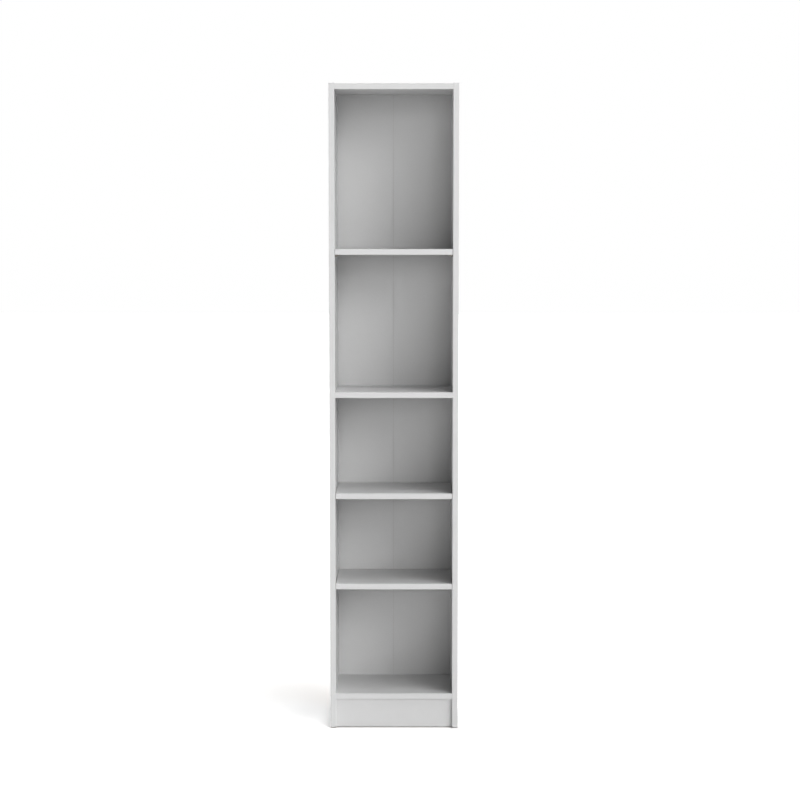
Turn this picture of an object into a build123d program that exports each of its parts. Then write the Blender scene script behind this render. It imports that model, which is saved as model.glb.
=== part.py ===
from build123d import *
import os

# A narrow open bookcase on a plinth, built from melamine-faced chipboard and a folding hardboard
# back. Millimetres. The origin is on the floor under the centre of the footprint, +Z is up, the
# open front faces -Y, and +X is to the right for someone who stands in front of it.

# Driving dimensions
width = 405
height = 2034
depth = 267
board = 18                # thickness of every chipboard panel
band = 1                  # plastic strip glued on the visible edges
band_radius = 0.5
glide = 2                 # height of the glides under the side panels
hole_pitch = 32           # distance between two shelf holes, one above the other
row_setback = 37          # front row of holes, from the front of the bookcase
row_spacing = 192         # from the front row of holes to the rear row
middle_height = 1064      # centre of the fixed middle shelf
bottom_height = 103       # centre of the bottom panel
top_drop = 1.5            # the top panel lies this much below the tops of the side panels
shelf_steps = (14, -10, -19)    # adjustable shelves, in hole pitches from the middle shelf
spare_steps = 3           # holes above and below each adjustable shelf's own hole

# Plinth
plinth_setback = 10
plinth_lift = 2           # the plinth ends this far above the floor

# Back: two hardboard leaves hinged by a strip of tape
hardboard = 3
nail_head = 0.5           # the nail heads and the tape stand out behind the leaves
leaf_inset = 2            # leaves end this far inside the outer edges
leaf_foot = 5
seam_offset = -3          # the fold, from the middle of the bookcase
seam_gap = 0.5
tape_width = 48
tape_thickness = 0.2
nail_radius = 0.8
nail_head_radius = 2
nail_length = 20
nails_per_side = 14
board_nails = (-120, -60, seam_offset - 10, seam_offset + 10, 60, 120)

# Adjustable shelves and their pins
shelf_play = 1            # gap at each end of an adjustable shelf
shelf_setback = 1
shelf_rear_gap = 2
pin_hole_radius = 2.5
pin_hole_depth = 10
pin_stem_radius = 2.45
pin_stem = 9
pin_head_radius = 3
pin_head = 7
pin_gap = 0.05            # the shelf rests this close above the pin heads
pin_shoulder_gap = 0.1

# Cam fittings: a cam in the board, a bolt screwed into the side panel
cam_setback = 34          # cam centre, from the end of its board
cam_radius = 7.4
cam_bore_radius = 7.5
cam_length = 12.5
cam_bore_depth = 13
cam_sink = 0.2            # the cam's face lies this deep in its bore
bolt_bore_radius = 4
bolt_radius = 3
bolt_head_radius = 3.3
bolt_neck_radius = 2
bolt_thread = 11
bolt_thread_radius = 2.95
bolt_pilot_radius = 3
cam_wall = 3.5            # half the length of the pocket that holds the bolt's head

# Dowels
dowel_radius = 3.95
dowel_bore_radius = 4
dowel_in_end = 20
dowel_in_face = 10
dowel_spare = 1           # each dowel hole is this much deeper than its dowel
dowel_step = 32           # dowels sit this far inside the rows of cam fittings
plinth_dowels = (-96, 96)
plinth_cam_height = 50

# Glides
glide_radius = 8
glide_spread = 100        # glides lie this far in front of and behind the middle
glide_nail_radius = 1
glide_nail_head_radius = 2.4
glide_nail_head = 0.8
glide_nail_sink = 0.6     # the nail head lies this far above the floor
glide_nail_length = 16

# Places worked out from the dimensions
half = width / 2
inner = half - board
front = -depth / 2
core_front = front + band
leaf_rear = depth / 2 - nail_head
leaf_front = leaf_rear - hardboard
panel_middle = half - board / 2
front_row = front + row_setback
rear_row = front_row + row_spacing
rows = (front_row, rear_row)
top_height = height - top_drop - board / 2
fixed_heights = {"top_panel": top_height, "middle_shelf": middle_height, "bottom_panel": bottom_height}
shelf_heights = [middle_height + step * hole_pitch for step in shelf_steps]
plinth_front = front + plinth_setback
plinth_top = bottom_height - board / 2
leaf_top = height - top_drop - leaf_inset


def block(x, y, z):
    # a box between two places along each axis
    size = Box(x[1] - x[0], y[1] - y[0], z[1] - z[0])
    return Pos(sum(x) / 2, sum(y) / 2, sum(z) / 2) * size


def rod(start, end, radius):
    # a round bar along X, on the axis, between two places
    return Pos((start + end) / 2, 0, 0) * Rot(0, 90, 0) * Cylinder(radius, end - start)


def turned(outline):
    # a turned piece about X from its half outline, a list of (place along X, radius)
    closed = [(outline[0][0], 0), *outline, (outline[-1][0], 0)]
    face = make_face(Polyline(*closed, close=True))
    return revolve(face, Axis.X)


def facing(origin, x_dir, z_dir):
    # the place of a fitting whose own X and Z axes point these ways
    return Plane(origin=origin, x_dir=x_dir, z_dir=z_dir).location


def edge_strip(x, y, z, grain, face):
    # a strip of edge banding with its two long visible edges rounded
    strip = block(x, y, z)
    visible = strip.faces().sort_by(face)[0]
    return fillet(visible.edges().filter_by(grain), band_radius)


# Shapes of the small fittings, each drawn along its own X axis

def cam():
    body = Pos(0, 0, -cam_length / 2 - cam_sink) * Cylinder(cam_radius, cam_length)
    axis = Pos(0, 0, -board / 2)
    body -= axis * rod(-cam_wall, cam_wall, bolt_head_radius + 0.5)
    body -= axis * rod(0, cam_radius + 1, bolt_neck_radius + 0.4)
    slot = Box(8, 1.4, 3) + Box(1.4, 8, 3)
    return body - Pos(0, 0, -cam_sink - 1.5) * slot


def cam_bolt():
    end = cam_setback
    head = [(-2.5, bolt_head_radius - 0.8), (-1.7, bolt_head_radius), (1.7, bolt_head_radius)]
    neck = [(2.5, bolt_neck_radius), (7, bolt_neck_radius)]
    shank = [(8, bolt_radius), (end - 1.5, bolt_radius)]
    collar = [(end - 1.5, bolt_bore_radius - 0.1), (end, bolt_bore_radius - 0.1)]
    thread = [(end, bolt_thread_radius - 0.8)]
    for turn in range(5):
        crest = end + 1.5 + 2 * turn
        thread += [(crest, bolt_thread_radius), (crest + 1, bolt_thread_radius - 0.8)]
    tip = [(end + bolt_thread, bolt_thread_radius - 1.5)]
    return Pos(0, 0, -board / 2) * turned(head + neck + shank + collar + thread + tip)


def cam_bores():
    bore = Pos(0, 0, -cam_bore_depth / 2) * Cylinder(cam_bore_radius, cam_bore_depth)
    return bore + Pos(0, 0, -board / 2) * rod(0, cam_setback, bolt_bore_radius)


def bolt_pilot():
    return Pos(0, 0, -board / 2) * rod(cam_setback, cam_setback + bolt_thread + 1, bolt_pilot_radius)


def dowel():
    tip = 1.5
    slim = dowel_radius - 1
    start, end = -dowel_in_end, dowel_in_face
    return turned([(start, slim), (start + tip, dowel_radius), (end - tip, dowel_radius), (end, slim)])


def nail():
    end = nail_length - nail_head
    shank = [(0, nail_radius), (end - 2, nail_radius), (end, 0.1)]
    return turned([(-nail_head, nail_head_radius), (0, nail_head_radius), *shank])


def shelf_pin():
    # the stem goes into the side panel along +X, the head carries the shelf
    neck = pin_head_radius - 0.4
    head = [(-pin_head, neck), (-pin_head + 0.4, pin_head_radius), (-pin_shoulder_gap, pin_head_radius)]
    stem = [(-pin_shoulder_gap, pin_stem_radius), (pin_stem - 0.6, pin_stem_radius)]
    return turned([*head, *stem, (pin_stem, pin_stem_radius - 0.6)])


def glide_nail():
    end = glide_nail_length
    head = [(glide_nail_sink, glide_nail_head_radius), (glide_nail_sink + glide_nail_head, glide_nail_radius)]
    return turned([*head, (end - 2, glide_nail_radius), (end, 0.1)])


def glide_foot():
    chamfer = 0.6
    pad = turned([(0, glide_radius - chamfer), (chamfer, glide_radius), (glide, glide_radius)])
    recess = rod(0, glide_nail_sink, glide_nail_head_radius + 0.2)
    return pad - recess - glide_nail()


# Places of the fittings. Each cam fitting's own X axis points to the side panel that it pulls on,
# and its Z axis points out of the face that the cam is turned from.

def cam_places(node, side):
    origin_x = side * (inner - cam_setback)
    outward = (side, 0, 0)
    if node == "plinth":
        return [facing((origin_x, plinth_front + board, plinth_cam_height), outward, (0, 1, 0))]
    face = 1 if node == "top_panel" else -1
    face_height = fixed_heights[node] + face * board / 2
    return [facing((origin_x, row, face_height), outward, (0, 0, face)) for row in rows]


def dowel_places(node, side):
    if node == "plinth":
        return []
    depths = (front_row + dowel_step, rear_row - dowel_step)
    height_here = fixed_heights[node]
    return [facing((side * inner, y, height_here), (side, 0, 0), (0, 0, 1)) for y in depths]


def plinth_dowel_places():
    return [facing((x, plinth_front + board / 2, plinth_top), (0, 0, 1), (1, 0, 0)) for x in plinth_dowels]


def nail_place(x, z):
    return facing((x, leaf_rear, z), (0, -1, 0), (0, 0, 1))


def side_nail_places(side):
    first, last = 60, height - 60
    step = (last - first) / (nails_per_side - 1)
    return [nail_place(side * panel_middle, first + step * count) for count in range(nails_per_side)]


def board_nail_places(node):
    return [nail_place(x, fixed_heights[node]) for x in board_nails]


def pin_level(middle):
    # height of the pins that carry the shelf whose centre is at this height
    return middle - board / 2 - pin_gap - pin_head_radius


def pin_places(side, level):
    return [facing((side * inner, row, level), (side, 0, 0), (0, 0, 1)) for row in rows]


def glide_places(side):
    spots = (-glide_spread, glide_spread)
    return [facing((side * panel_middle, y, 0), (0, 0, 1), (0, 1, 0)) for y in spots]


# The boards

def board_levels(middle):
    return (middle - board / 2, middle + board / 2)


def side_panel(side):
    span = sorted((side * inner, side * half))
    panel = block(span, (core_front, leaf_front), (glide, height - band))
    pin_hole = rod(0, pin_hole_depth, pin_hole_radius)
    face_hole = rod(0, dowel_in_face + dowel_spare, dowel_bore_radius)
    tools = []
    for middle in shelf_heights:
        for step in range(-spare_steps, spare_steps + 1):
            level = pin_level(middle) + step * hole_pitch
            tools += [place * pin_hole for place in pin_places(side, level)]
    for node in [*fixed_heights, "plinth"]:
        tools += [place * bolt_pilot() for place in cam_places(node, side)]
        tools += [place * face_hole for place in dowel_places(node, side)]
    tools += [place * nail() for place in side_nail_places(side)]
    tools += [place * glide_nail() for place in glide_places(side)]
    return panel - tools


def fixed_board(node):
    panel = block((-inner, inner), (core_front, leaf_front), board_levels(fixed_heights[node]))
    end_hole = rod(-dowel_in_end - dowel_spare, 0, dowel_bore_radius)
    tools = [place * nail() for place in board_nail_places(node)]
    for side in (-1, 1):
        tools += [place * cam_bores() for place in cam_places(node, side)]
        tools += [place * end_hole for place in dowel_places(node, side)]
    if node == "bottom_panel":
        face_hole = rod(0, dowel_in_face + dowel_spare, dowel_bore_radius)
        tools += [place * face_hole for place in plinth_dowel_places()]
    return panel - tools


def plinth():
    panel = block((-inner, inner), (plinth_front, plinth_front + board), (plinth_lift, plinth_top))
    end_hole = rod(-dowel_in_end - dowel_spare, 0, dowel_bore_radius)
    tools = [place * end_hole for place in plinth_dowel_places()]
    for side in (-1, 1):
        tools += [place * cam_bores() for place in cam_places("plinth", side)]
    return panel - tools


def adjustable_shelf(middle):
    half_length = inner - shelf_play
    depths = (core_front + shelf_setback, leaf_front - shelf_rear_gap)
    return block((-half_length, half_length), depths, board_levels(middle))


def board_edge(middle, half_length, setback):
    depths = (front + setback, core_front + setback)
    return edge_strip((-half_length, half_length), depths, board_levels(middle), Axis.X, Axis.Y)


def back_leaf(side):
    seam_edge = seam_offset + side * seam_gap / 2
    span = sorted((seam_edge, side * (half - leaf_inset)))
    leaf = block(span, (leaf_front, leaf_rear), (leaf_foot, leaf_top))
    places = side_nail_places(side)
    for node in fixed_heights:
        places += board_nail_places(node)
    return leaf - [place * nail() for place in places]


def back_tape():
    span = (seam_offset - tape_width / 2, seam_offset + tape_width / 2)
    tape = block(span, (leaf_rear, leaf_rear + tape_thickness), (leaf_foot, leaf_top))
    places = [place for node in fixed_heights for place in board_nail_places(node)]
    return tape - [place * nail() for place in places]


def group(shape, places):
    return Compound(children=[place * shape for place in places])


def shelf_pins(middle):
    level = pin_level(middle)
    return group(shelf_pin(), [place for side in (-1, 1) for place in pin_places(side, level)])


def build_nodes():
    nodes = {}
    for side, name in ((-1, "left"), (1, "right")):
        span = sorted((side * inner, side * half))
        nodes[f"side_panel_{name}"] = side_panel(side)
        nodes[f"side_edge_{name}"] = edge_strip(span, (front, core_front), (glide, height), Axis.Z, Axis.Y)
        top = (height - band, height)
        nodes[f"side_top_edge_{name}"] = edge_strip(span, (core_front, leaf_front), top, Axis.Y, -Axis.Z)
        nodes[f"back_leaf_{name}"] = back_leaf(side)
    for node, middle in fixed_heights.items():
        nodes[node] = fixed_board(node)
        nodes[f"{node}_edge"] = board_edge(middle, inner, 0)
    nodes["plinth"] = plinth()
    for count, middle in enumerate(shelf_heights, start=1):
        nodes[f"adjustable_shelf_{count}"] = adjustable_shelf(middle)
        nodes[f"adjustable_shelf_{count}_edge"] = board_edge(middle, inner - shelf_play, shelf_setback)
        nodes[f"shelf_pins_{count}"] = shelf_pins(middle)

    cams, dowels, nails, glides = [], plinth_dowel_places(), [], []
    for side in (-1, 1):
        for node in [*fixed_heights, "plinth"]:
            cams += cam_places(node, side)
            dowels += dowel_places(node, side)
        nails += side_nail_places(side)
        glides += glide_places(side)
    for node in fixed_heights:
        nails += board_nail_places(node)
    nodes["cam_locks"] = group(cam(), cams)
    nodes["cam_bolts"] = group(cam_bolt(), cams)
    nodes["dowels"] = group(dowel(), dowels)
    nodes["back_nails"] = group(nail(), nails)
    nodes["back_tape"] = back_tape()
    nodes["glides"] = group(glide_foot(), glides)
    nodes["glide_nails"] = group(glide_nail(), glides)
    return nodes


os.makedirs("parts", exist_ok=True)
for node_name, shape in build_nodes().items():
    export_step(shape, f"parts/{node_name}.step")
    print(node_name, len(shape.solids()), round(shape.volume))
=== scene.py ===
import bpy, bmesh, math
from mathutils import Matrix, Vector


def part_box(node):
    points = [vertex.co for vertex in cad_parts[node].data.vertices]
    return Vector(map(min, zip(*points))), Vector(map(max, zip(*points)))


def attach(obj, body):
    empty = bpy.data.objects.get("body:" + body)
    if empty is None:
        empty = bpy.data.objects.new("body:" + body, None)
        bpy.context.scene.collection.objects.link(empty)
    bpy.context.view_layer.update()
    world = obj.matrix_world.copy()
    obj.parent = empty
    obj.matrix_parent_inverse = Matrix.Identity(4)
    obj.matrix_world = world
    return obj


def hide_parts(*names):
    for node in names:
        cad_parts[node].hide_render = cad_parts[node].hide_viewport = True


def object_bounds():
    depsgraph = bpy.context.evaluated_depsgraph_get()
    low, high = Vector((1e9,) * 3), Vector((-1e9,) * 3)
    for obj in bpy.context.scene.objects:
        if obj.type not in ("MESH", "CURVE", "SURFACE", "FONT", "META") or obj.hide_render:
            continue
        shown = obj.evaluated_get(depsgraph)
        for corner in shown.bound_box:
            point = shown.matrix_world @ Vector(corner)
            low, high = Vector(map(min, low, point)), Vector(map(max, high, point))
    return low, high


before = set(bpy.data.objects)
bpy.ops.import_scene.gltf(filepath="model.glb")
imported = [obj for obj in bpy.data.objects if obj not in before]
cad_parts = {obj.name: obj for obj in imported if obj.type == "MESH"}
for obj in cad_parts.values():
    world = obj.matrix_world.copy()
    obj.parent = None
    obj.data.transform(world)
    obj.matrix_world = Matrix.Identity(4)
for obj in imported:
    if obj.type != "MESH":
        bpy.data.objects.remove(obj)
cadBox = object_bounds()
mm = 0.001


# An sRGB hex code as the linear colour that a shader takes.
def hexColour(code):
    channels = [int(code[at:at + 2], 16) / 255 for at in (1, 3, 5)]
    linear = [c / 12.92 if c <= 0.04045 else ((c + 0.055) / 1.055) ** 2.4 for c in channels]
    return (*linear, 1.0)


# Inputs are socket names or numbers. A Mix node needs numbers: 0 is the factor, 2 and 3 are two plain
# numbers, 4 and 5 two vectors, 6 and 7 two colours. Its outputs are 0 a number, 1 a vector, 2 a colour.
def addNode(tree, kind, inputs=None, **settings):
    node = tree.nodes.new("ShaderNode" + kind)
    for name, value in settings.items():
        setattr(node, name, value)
    for name, value in (inputs or {}).items():
        if isinstance(value, bpy.types.NodeSocket):
            tree.links.new(value, node.inputs[name])
        else:
            node.inputs[name].default_value = value
    return node


def startMaterial(name):
    material = bpy.data.materials.new(name)
    material.use_nodes = True
    tree = material.node_tree
    tree.nodes.clear()
    return material, tree


def finishMaterial(tree, inputs):
    shader = addNode(tree, "BsdfPrincipled", inputs)
    addNode(tree, "OutputMaterial", {"Surface": shader.outputs["BSDF"]})


def dress(nodeName, material):
    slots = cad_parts[nodeName].data.materials
    slots.clear()
    slots.append(material)


faceTurn = 0.7     # how squarely a face has to look along an axis to count as facing it, 1 is exactly

# Melamine-faced chipboard: white paper soaked in resin and pressed on a pearl plate. It gives a hard
# satin white with a faint unevenness; where the board is cut, brown chips show between two finer layers.
boardFinish = {
    "paper": "#DEDEDE",
    "paperWorn": "#DBDBDB",
    "chipLight": "#D2B993",
    "chipDark": "#9A7C58",
    "dust": "#C2A37A",
    "ior": 1.5,
    "gloss": 0.52,
    "glossChange": 0.03,
    "cutGloss": 0.9,
    "pearl": 1.6 * mm,       # real pearl is about 0.4 mm, drawn coarser so that it shows
    "pearlDetail": 1,
    "pearlHeight": 0.03 * mm,
    "pearlStrength": 0.35,
    "wave": 45 * mm,         # chips telegraph through the paper as a slow wave
    "waveDetail": 3,
    "waveRange": (0.3, 0.7),
    "chip": 4 * mm,
    "fines": 1.2 * mm,
    "finesDetail": 2,
    "core": 0.62,            # middle layer, as a share of the thickness
}


def boardMaterial(name, across, middle, thickness):
    # across: the axis through the thickness, 0 for X, 1 for Y, 2 for Z; middle: the board's centre there
    f = boardFinish
    material, tree = startMaterial(name)
    coordinates = addNode(tree, "TexCoord")
    place = coordinates.outputs["Object"]
    placeParts = addNode(tree, "SeparateXYZ", {"Vector": place})
    facing = addNode(tree, "SeparateXYZ", {"Vector": coordinates.outputs["Normal"]})
    square = addNode(tree, "Math", {0: facing.outputs[across]}, operation="ABSOLUTE")
    papered = addNode(tree, "Math", {0: square.outputs[0], 1: faceTurn}, operation="GREATER_THAN")

    wave = addNode(tree, "TexNoise", {"Vector": place, "Scale": 1 / f["wave"], "Detail": f["waveDetail"]})
    paper = addNode(tree, "Mix", {0: wave.outputs["Fac"], 6: hexColour(f["paper"]),
                                  7: hexColour(f["paperWorn"])}, data_type="RGBA")
    chips = addNode(tree, "TexVoronoi", {"Vector": place, "Scale": 1 / f["chip"]})
    chipShade = addNode(tree, "SeparateColor", {"Color": chips.outputs["Color"]})
    coarse = addNode(tree, "Mix", {0: chipShade.outputs[0], 6: hexColour(f["chipDark"]),
                                   7: hexColour(f["chipLight"])}, data_type="RGBA")
    fines = addNode(tree, "TexNoise", {"Vector": place, "Scale": 1 / f["fines"], "Detail": f["finesDetail"]})
    dust = addNode(tree, "Mix", {0: fines.outputs["Fac"], 6: hexColour(f["chipDark"]),
                                 7: hexColour(f["dust"])}, data_type="RGBA")
    offset = addNode(tree, "Math", {0: placeParts.outputs[across], 1: middle}, operation="SUBTRACT")
    depth = addNode(tree, "Math", {0: offset.outputs[0]}, operation="ABSOLUTE")
    inCore = addNode(tree, "Math", {0: depth.outputs[0], 1: f["core"] * thickness / 2}, operation="LESS_THAN")
    cut = addNode(tree, "Mix", {0: inCore.outputs[0], 6: dust.outputs[2], 7: coarse.outputs[2]},
                  data_type="RGBA")
    colour = addNode(tree, "Mix", {0: papered.outputs[0], 6: cut.outputs[2], 7: paper.outputs[2]},
                     data_type="RGBA")

    pearl = addNode(tree, "TexNoise", {"Vector": place, "Scale": 1 / f["pearl"], "Detail": f["pearlDetail"]})
    relief = addNode(tree, "Bump", {"Height": pearl.outputs["Fac"], "Strength": f["pearlStrength"],
                                    "Distance": f["pearlHeight"]})
    satin = addNode(tree, "MapRange", {"Value": wave.outputs["Fac"],
                                       "From Min": f["waveRange"][0], "From Max": f["waveRange"][1],
                                       "To Min": f["gloss"] - f["glossChange"],
                                       "To Max": f["gloss"] + f["glossChange"]})
    gloss = addNode(tree, "Mix", {0: papered.outputs[0], 2: f["cutGloss"], 3: satin.outputs["Result"]},
                    data_type="FLOAT")
    finishMaterial(tree, {"Base Color": colour.outputs[2], "Roughness": gloss.outputs[0], "IOR": f["ior"],
                          "Normal": relief.outputs["Normal"]})
    return material


# ABS edge strip, extruded and embossed: a little smoother than the board's face, with rounded corners
# that catch a thin light line.
stripFinish = {
    "plastic": "#DDDDDD",
    "shade": "#DBDBDB",
    "ior": 1.53,
    "gloss": 0.4,
    "streak": 30 * mm,
    "streakDetail": 2,
    "pearl": 1.2 * mm,       # drawn coarser, as on the board
    "pearlDetail": 1,
    "pearlHeight": 0.02 * mm,
    "pearlStrength": 0.3,
}


def stripMaterial():
    f = stripFinish
    material, tree = startMaterial("absEdgeStrip")
    place = addNode(tree, "TexCoord").outputs["Object"]
    streak = addNode(tree, "TexNoise", {"Vector": place, "Scale": 1 / f["streak"],
                                        "Detail": f["streakDetail"]})
    colour = addNode(tree, "Mix", {0: streak.outputs["Fac"], 6: hexColour(f["plastic"]),
                                   7: hexColour(f["shade"])}, data_type="RGBA")
    pearl = addNode(tree, "TexNoise", {"Vector": place, "Scale": 1 / f["pearl"], "Detail": f["pearlDetail"]})
    relief = addNode(tree, "Bump", {"Height": pearl.outputs["Fac"], "Strength": f["pearlStrength"],
                                    "Distance": f["pearlHeight"]})
    finishMaterial(tree, {"Base Color": colour.outputs[2], "Roughness": f["gloss"], "IOR": f["ior"],
                          "Normal": relief.outputs["Normal"]})
    return material


# Hardboard, pressed wood fibre: white lacquer with a soft orange peel inside and into the fold, bare brown
# fibre behind with the dents of the press screen in relief, and painted shade darkening the bottom of each
# dent.
leafFinish = {
    "lacquer": "#D6D6D6",
    "lacquerShade": "#D3D3D3",
    "fibre": "#AD8C66",
    "fibreDark": "#937250",
    "ior": 1.5,
    "gloss": 0.5,
    "fibreGloss": 0.85,
    "peel": 5 * mm,
    "peelDetail": 1,
    "peelHeight": 0.02 * mm,
    "peelStrength": 0.4,
    "clump": 14 * mm,
    "clumpDetail": 6,
    "clumpRoughness": 0.65,
    "screen": 4 * mm,        # real press screens print about 1.5 mm, drawn coarser so that it shows
    "screenHeight": 0.4 * mm,
    "screenStrength": 0.5,
    "dentPaintedShade": "#86664A",
    "screenRange": (-1, 0.4),     # of the waves, from the bottom of a dent to its rim
    "dentShadeDepth": 0.55,          # how much of the painted shade the bottom of a dent gets
    "foldWidth": 1 * mm,
}


def leafMaterial(fold):
    # fold: where the two leaves meet, in X
    f = leafFinish
    material, tree = startMaterial("lacqueredHardboard")
    coordinates = addNode(tree, "TexCoord")
    place = coordinates.outputs["Object"]
    facing = addNode(tree, "SeparateXYZ", {"Vector": coordinates.outputs["Normal"]})
    placeParts = addNode(tree, "SeparateXYZ", {"Vector": place})
    frontFace = addNode(tree, "Math", {0: facing.outputs["Y"], 1: -faceTurn}, operation="LESS_THAN")
    inFold = addNode(tree, "Math", {0: placeParts.outputs["X"], 1: fold, 2: f["foldWidth"]},
                     operation="COMPARE")
    lacquered = addNode(tree, "Math", {0: frontFace.outputs[0], 1: inFold.outputs[0]}, operation="MAXIMUM")

    peel = addNode(tree, "TexNoise", {"Vector": place, "Scale": 1 / f["peel"], "Detail": f["peelDetail"]})
    white = addNode(tree, "Mix", {0: peel.outputs["Fac"], 6: hexColour(f["lacquer"]),
                                  7: hexColour(f["lacquerShade"])}, data_type="RGBA")
    clump = addNode(tree, "TexNoise", {"Vector": place, "Scale": 1 / f["clump"], "Detail": f["clumpDetail"],
                                       "Roughness": f["clumpRoughness"]})
    brown = addNode(tree, "Mix", {0: clump.outputs["Fac"], 6: hexColour(f["fibreDark"]),
                                  7: hexColour(f["fibre"])}, data_type="RGBA")
    waves = []
    for axis in ("X", "Z"):
        angle = addNode(tree, "Math", {0: placeParts.outputs[axis], 1: 2 * math.pi / f["screen"]},
                        operation="MULTIPLY")
        waves.append(addNode(tree, "Math", {0: angle.outputs[0]}, operation="SINE"))
    screen = addNode(tree, "Math", {0: waves[0].outputs[0], 1: waves[1].outputs[0]}, operation="MULTIPLY")
    # Painted shade: the fibre's colour darkens towards the bottom of each dent of the screen.
    pressed = addNode(tree, "MapRange", {"Value": screen.outputs[0],
                                         "From Min": f["screenRange"][0], "From Max": f["screenRange"][1],
                                         "To Min": f["dentShadeDepth"], "To Max": 0.0})
    fibreWithDentShade = addNode(tree, "Mix", {0: pressed.outputs["Result"], 6: brown.outputs[2],
                                    7: hexColour(f["dentPaintedShade"])}, data_type="RGBA")
    colour = addNode(tree, "Mix", {0: lacquered.outputs[0], 6: fibreWithDentShade.outputs[2], 7: white.outputs[2]},
                     data_type="RGBA")

    frontRelief = addNode(tree, "Bump", {"Height": peel.outputs["Fac"], "Strength": f["peelStrength"],
                                         "Distance": f["peelHeight"]})
    rearRelief = addNode(tree, "Bump", {"Height": screen.outputs[0], "Strength": f["screenStrength"],
                                        "Distance": f["screenHeight"]})
    normal = addNode(tree, "Mix", {0: lacquered.outputs[0], 4: rearRelief.outputs["Normal"],
                                   5: frontRelief.outputs["Normal"]}, data_type="VECTOR")
    gloss = addNode(tree, "Mix", {0: lacquered.outputs[0], 2: f["fibreGloss"], 3: f["gloss"]},
                    data_type="FLOAT")
    finishMaterial(tree, {"Base Color": colour.outputs[2], "Roughness": gloss.outputs[0], "IOR": f["ior"],
                          "Normal": normal.outputs[1]})
    return material


# Gummed kraft paper tape: tan, matt, with short fibres. Its gummed side is pale and shows in the seam.
tapeFinish = {
    "gum": "#C4C2BE",
    "kraft": "#D2BB96",
    "kraftDark": "#C4AA82",
    "gloss": 0.75,
    "fibre": 3 * mm,
    "fibreStretch": (1, 1, 0.4),      # fibres run along the tape
    "fibreDetail": 5,
    "fibreHeight": 0.05 * mm,
    "fibreStrength": 0.4,
}


def tapeMaterial():
    f = tapeFinish
    material, tree = startMaterial("kraftPaperTape")
    coordinates = addNode(tree, "TexCoord")
    facing = addNode(tree, "SeparateXYZ", {"Vector": coordinates.outputs["Normal"]})
    gummed = addNode(tree, "Math", {0: facing.outputs["Y"], 1: -faceTurn}, operation="LESS_THAN")
    drawn = addNode(tree, "Mapping", {"Vector": coordinates.outputs["Object"], "Scale": f["fibreStretch"]})
    fibre = addNode(tree, "TexNoise", {"Vector": drawn.outputs[0], "Scale": 1 / f["fibre"],
                                       "Detail": f["fibreDetail"]})
    kraft = addNode(tree, "Mix", {0: fibre.outputs["Fac"], 6: hexColour(f["kraft"]),
                                  7: hexColour(f["kraftDark"])}, data_type="RGBA")
    colour = addNode(tree, "Mix", {0: gummed.outputs[0], 6: kraft.outputs[2], 7: hexColour(f["gum"])},
                     data_type="RGBA")
    relief = addNode(tree, "Bump", {"Height": fibre.outputs["Fac"], "Strength": f["fibreStrength"],
                                    "Distance": f["fibreHeight"]})
    finishMaterial(tree, {"Base Color": colour.outputs[2], "Roughness": f["gloss"],
                          "Normal": relief.outputs["Normal"]})
    return material


# Metals of the fittings: bright zinc plate on steel, dull cast zinc, nickel plate. Grain is the size of
# the spangle or of the casting's skin.
metalFinish = {
    "zincPlatedSteel": {"colour": "#C6C8CC", "shade": "#AEB0B5", "gloss": 0.34, "grain": 1.5 * mm},
    "dieCastZinc": {"colour": "#BDBFC3", "shade": "#A3A5A9", "gloss": 0.46, "grain": 0.9 * mm},
    "nickelPlatedSteel": {"colour": "#D0CCC4", "shade": "#BDB8AF", "gloss": 0.24, "grain": 2 * mm},
}
metalSkin = {"detail": 3, "height": 0.03 * mm, "strength": 0.25}


def metalMaterial(name):
    f = metalFinish[name]
    material, tree = startMaterial(name)
    place = addNode(tree, "TexCoord").outputs["Object"]
    grain = addNode(tree, "TexNoise", {"Vector": place, "Scale": 1 / f["grain"],
                                       "Detail": metalSkin["detail"]})
    colour = addNode(tree, "Mix", {0: grain.outputs["Fac"], 6: hexColour(f["colour"]),
                                   7: hexColour(f["shade"])}, data_type="RGBA")
    relief = addNode(tree, "Bump", {"Height": grain.outputs["Fac"], "Strength": metalSkin["strength"],
                                    "Distance": metalSkin["height"]})
    finishMaterial(tree, {"Base Color": colour.outputs[2], "Metallic": 1.0, "Roughness": f["gloss"],
                          "Normal": relief.outputs["Normal"]})
    return material


# Turned beech: pale brown with short dark flecks along the dowel.
beechFinish = {
    "wood": "#D3A878",
    "fleck": "#A97D50",
    "gloss": 0.6,
    "fleckWidth": 0.8 * mm,
    "fleckStretch": (0.12, 1, 1),     # flecks run along the dowel
    "fleckDetail": 2,
    "fleckHeight": 0.05 * mm,
    "fleckStrength": 0.3,
}


def beechMaterial():
    f = beechFinish
    material, tree = startMaterial("turnedBeech")
    place = addNode(tree, "TexCoord").outputs["Object"]
    drawn = addNode(tree, "Mapping", {"Vector": place, "Scale": f["fleckStretch"]})
    fleck = addNode(tree, "TexNoise", {"Vector": drawn.outputs[0], "Scale": 1 / f["fleckWidth"],
                                       "Detail": f["fleckDetail"]})
    colour = addNode(tree, "Mix", {0: fleck.outputs["Fac"], 6: hexColour(f["fleck"]),
                                   7: hexColour(f["wood"])}, data_type="RGBA")
    relief = addNode(tree, "Bump", {"Height": fleck.outputs["Fac"], "Strength": f["fleckStrength"],
                                    "Distance": f["fleckHeight"]})
    finishMaterial(tree, {"Base Color": colour.outputs[2], "Roughness": f["gloss"],
                          "Normal": relief.outputs["Normal"]})
    return material


# Moulded polyethylene: milky white, soft gloss.
glideFinish = {
    "plastic": "#E4E3DF",
    "scuff": "#CFCDC8",
    "gloss": 0.5,
    "grain": 3 * mm,
    "grainDetail": 4,
    "grainHeight": 0.05 * mm,
    "grainStrength": 0.2,
}


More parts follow.
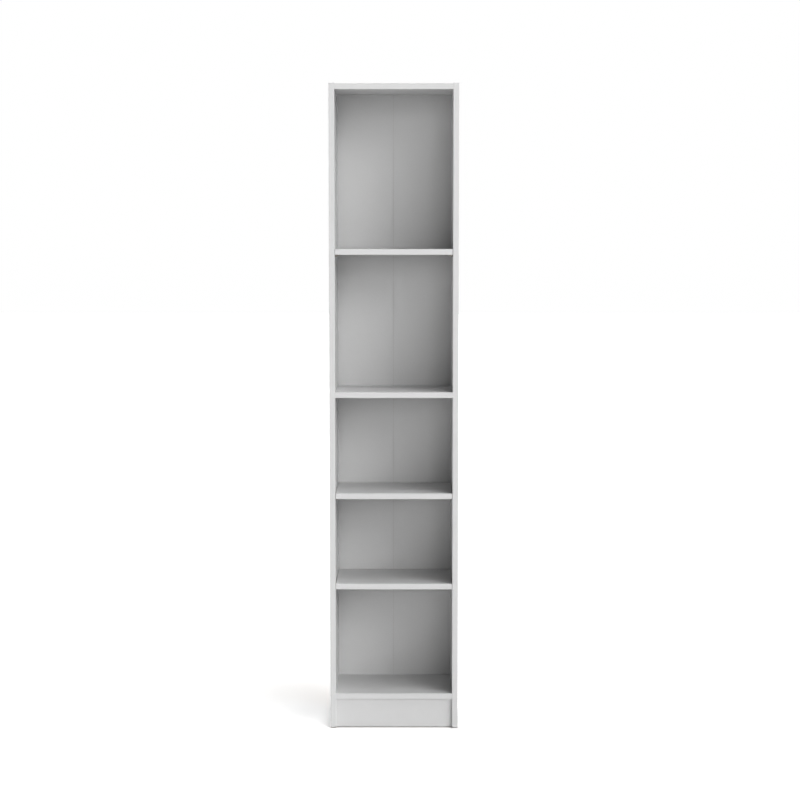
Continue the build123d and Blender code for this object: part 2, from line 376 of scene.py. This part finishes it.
def glideMaterial():
    f = glideFinish
    material, tree = startMaterial("mouldedPolyethylene")
    place = addNode(tree, "TexCoord").outputs["Object"]
    grain = addNode(tree, "TexNoise", {"Vector": place, "Scale": 1 / f["grain"], "Detail": f["grainDetail"]})
    colour = addNode(tree, "Mix", {0: grain.outputs["Fac"], 6: hexColour(f["plastic"]),
                                   7: hexColour(f["scuff"])}, data_type="RGBA")
    relief = addNode(tree, "Bump", {"Height": grain.outputs["Fac"], "Strength": f["grainStrength"],
                                    "Distance": f["grainHeight"]})
    finishMaterial(tree, {"Base Color": colour.outputs[2], "Roughness": f["gloss"],
                          "Normal": relief.outputs["Normal"]})
    return material


# Small fittings: a copy of each with its sharp rims broken, since a cast, pressed or moulded edge is never
# quite sharp and catches a thin light line.
fittingRims = {
    "cam_locks": {"width": 0.35 * mm, "body": "case", "slot": "zinc"},
    "glides": {"width": 0.5 * mm, "body": "case", "slot": "glide_plastic"},
    "shelf_pins_1": {"width": 0.4 * mm, "body": "pins_1", "slot": "pin_steel"},
    "shelf_pins_2": {"width": 0.4 * mm, "body": "pins_2", "slot": "pin_steel"},
    "shelf_pins_3": {"width": 0.4 * mm, "body": "pins_3", "slot": "pin_steel"},
}
rimCut = {
    "together": 0.001 * mm,           # corners closer than this are one
    "flattest": math.radians(1),      # an edge that turns less is inside a flat face
    "sharpest": math.radians(40),     # an edge that turns more is a rim
    "segments": 2,
}


def breakRims(nodeName, material):
    f = fittingRims[nodeName]
    form = bmesh.new()
    form.from_mesh(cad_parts[nodeName].data)
    bmesh.ops.remove_doubles(form, verts=form.verts, dist=rimCut["together"])
    bmesh.ops.dissolve_limit(form, angle_limit=rimCut["flattest"], verts=form.verts, edges=form.edges)
    rims = [edge for edge in form.edges if edge.is_manifold and edge.calc_face_angle() > rimCut["sharpest"]]
    bmesh.ops.bevel(form, geom=rims, offset=f["width"], offset_type="OFFSET", affect="EDGES",
                    segments=rimCut["segments"], profile=0.5, material=-1, clamp_overlap=True)
    mesh = bpy.data.meshes.new(nodeName + "_finished")
    form.to_mesh(mesh)
    form.free()
    piece = bpy.data.objects.new(nodeName + "_finished", mesh)
    bpy.context.scene.collection.objects.link(piece)
    mesh.materials.append(material)
    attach(piece, f["body"])
    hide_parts(nodeName)


# Which way each board's thickness goes: 0 for X, 1 for Y, 2 for Z.
boardThickness = {
    "side_panel_left": 0,
    "side_panel_right": 0,
    "plinth": 1,
    "top_panel": 2,
    "middle_shelf": 2,
    "bottom_panel": 2,
    "adjustable_shelf_1": 2,
    "adjustable_shelf_2": 2,
    "adjustable_shelf_3": 2,
}


def dressBookcase():
    for name, across in boardThickness.items():
        low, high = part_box(name)
        middle, thickness = (low[across] + high[across]) / 2, high[across] - low[across]
        dress(name, boardMaterial("melamineChipboard_" + name, across, middle, thickness))
    print("boards dressed")

    strip = stripMaterial()
    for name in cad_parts:
        if name.endswith("_edge") or "_edge_" in name:
            dress(name, strip)
    print("edge strips dressed")

    leaf = leafMaterial((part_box("back_leaf_left")[1].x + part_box("back_leaf_right")[0].x) / 2)
    dress("back_leaf_left", leaf)
    dress("back_leaf_right", leaf)
    dress("back_tape", tapeMaterial())
    print("back dressed")

    plated = metalMaterial("zincPlatedSteel")
    for name in ("back_nails", "glide_nails", "cam_bolts"):
        dress(name, plated)
    dress("dowels", beechMaterial())
    breakRims("cam_locks", metalMaterial("dieCastZinc"))
    breakRims("glides", glideMaterial())
    nickel = metalMaterial("nickelPlatedSteel")
    for count in (1, 2, 3):
        breakRims(f"shelf_pins_{count}", nickel)
    print("fittings finished")


# Floor: a plain white studio floor. The camera sees it brighter than it is, so that it stays white, except in
# the shadow and right beside what stands on it, where ambient occlusion takes that lift away as a painted
# contact shade.
studioFloor = {
    "size": 60,
    "paint": "#EDEDED",
    "bounce": 0.02,     # the lift that everything but the camera gets from the floor
    "seen": 0.38,       # the lift that the camera sees
    "contactShadeReach": 0.04,      # how near an object takes that lift away, in metres, painting a contact shade
}


def makeFloor():
    f = studioFloor
    mesh = bpy.data.meshes.new("studioFloor")
    form = bmesh.new()
    bmesh.ops.create_grid(form, x_segments=2, y_segments=2, size=f["size"] / 2)
    form.to_mesh(mesh)
    form.free()
    floor = bpy.data.objects.new("studioFloor", mesh)
    bpy.context.scene.collection.objects.link(floor)
    material, tree = startMaterial("paintedStudioFloor")
    paint = addNode(tree, "BsdfDiffuse", {"Color": hexColour(f["paint"])})
    path = addNode(tree, "LightPath")
    # Ambient occlusion fades the camera's lift near what stands on the floor: a painted contact shade.
    clear = addNode(tree, "AmbientOcclusion", {"Distance": f["contactShadeReach"]})
    seen = addNode(tree, "Math", {0: clear.outputs["AO"], 1: f["seen"]}, operation="MULTIPLY")
    strength = addNode(tree, "Mix", {0: path.outputs["Is Camera Ray"], 2: f["bounce"], 3: seen.outputs[0]},
                       data_type="FLOAT")
    lift = addNode(tree, "Emission", {"Color": (1, 1, 1, 1), "Strength": strength.outputs[0]})
    both = addNode(tree, "AddShader", {0: paint.outputs[0], 1: lift.outputs[0]})
    addNode(tree, "OutputMaterial", {"Surface": both.outputs[0]})
    mesh.materials.append(material)
    print("floor made")


# Lights: large soft lights from straight ahead round to the right and high above, others behind, in an even
# white room. Azimuth is counted from the front towards the right, spread is how wide each light looks, and
# all angles are in degrees.
studioLights = {
    "lowFrontLight": {"azimuth": 4, "elevation": 6, "spread": 26, "strength": 0.66},
    "softKeyLight": {"azimuth": 25, "elevation": 25, "spread": 30, "strength": 0.58},
    "rightKeyLight": {"azimuth": 50, "elevation": 25, "spread": 30, "strength": 0.92},
    "highLight": {"azimuth": 48, "elevation": 66, "spread": 30, "strength": 0.8},
    "steepLight": {"azimuth": 80, "elevation": 74, "spread": 30, "strength": 0.5},
    "rightRearLight": {"azimuth": 105, "elevation": 20, "spread": 30, "strength": 0.4},
    "rearLight": {"azimuth": 210, "elevation": 35, "spread": 40, "strength": 1.3},
    "leftRearLight": {"azimuth": 255, "elevation": 22, "spread": 30, "strength": 1.0},
}
# How bright the room is: as light on surfaces, in reflections, and to the camera.
room = {"shade": 0.03, "gleam": 0.35, "seen": 1.0}


def makeLights():
    for name, k in studioLights.items():
        light = bpy.data.lights.new(name, "SUN")
        light.energy = k["strength"]
        light.angle = math.radians(k["spread"])
        lamp = bpy.data.objects.new(name, light)
        azimuth, elevation = math.radians(k["azimuth"]), math.radians(k["elevation"])
        toLamp = Vector((math.sin(azimuth) * math.cos(elevation), -math.cos(azimuth) * math.cos(elevation),
                         math.sin(elevation)))
        lamp.rotation_euler = toLamp.to_track_quat("Z", "Y").to_euler()
        bpy.context.scene.collection.objects.link(lamp)

    world = bpy.data.worlds.new("whiteRoom")
    bpy.context.scene.world = world
    world.use_nodes = True
    tree = world.node_tree
    tree.nodes.clear()
    path = addNode(tree, "LightPath")
    gleam = addNode(tree, "Mix", {0: path.outputs["Is Glossy Ray"], 2: room["shade"], 3: room["gleam"]},
                    data_type="FLOAT")
    strength = addNode(tree, "Mix", {0: path.outputs["Is Camera Ray"], 2: gleam.outputs[0], 3: room["seen"]},
                       data_type="FLOAT")
    glow = addNode(tree, "Background", {"Color": (1, 1, 1, 1), "Strength": strength.outputs[0]})
    addNode(tree, "OutputWorld", {"Surface": glow.outputs[0]})
    print("lights made")


# Camera: a long lens a little right of the middle, at eye height, tilted down to the middle of the
# bookcase. Distance is from the front, in metres; tilt and turn are in degrees.
cameraSetup = {
    "lens": 86.69,
    "sensor": 36,
    "distance": 6.02,
    "right": 0.0387,
    "height": 1.583,
    "tilt": -5.07,
    "turn": 0.186,
    "farthest": 200,
}


def makeCamera():
    c = cameraSetup
    camera = bpy.data.cameras.new("camera")
    camera.lens = c["lens"]
    camera.sensor_width = c["sensor"]
    camera.clip_end = c["farthest"]
    holder = bpy.data.objects.new("camera", camera)
    holder.location = (c["right"], cadBox[0].y - c["distance"], c["height"])
    holder.rotation_euler = (math.radians(90 + c["tilt"]), 0, math.radians(c["turn"]))
    bpy.context.scene.collection.objects.link(holder)
    bpy.context.scene.camera = holder
    print("camera set")


printGamma = 0.72     # a slightly contrasty print
bpy.context.scene.view_settings.view_transform = "Standard"
bpy.context.scene.view_settings.gamma = printGamma
dressBookcase()
makeFloor()
makeLights()
makeCamera()
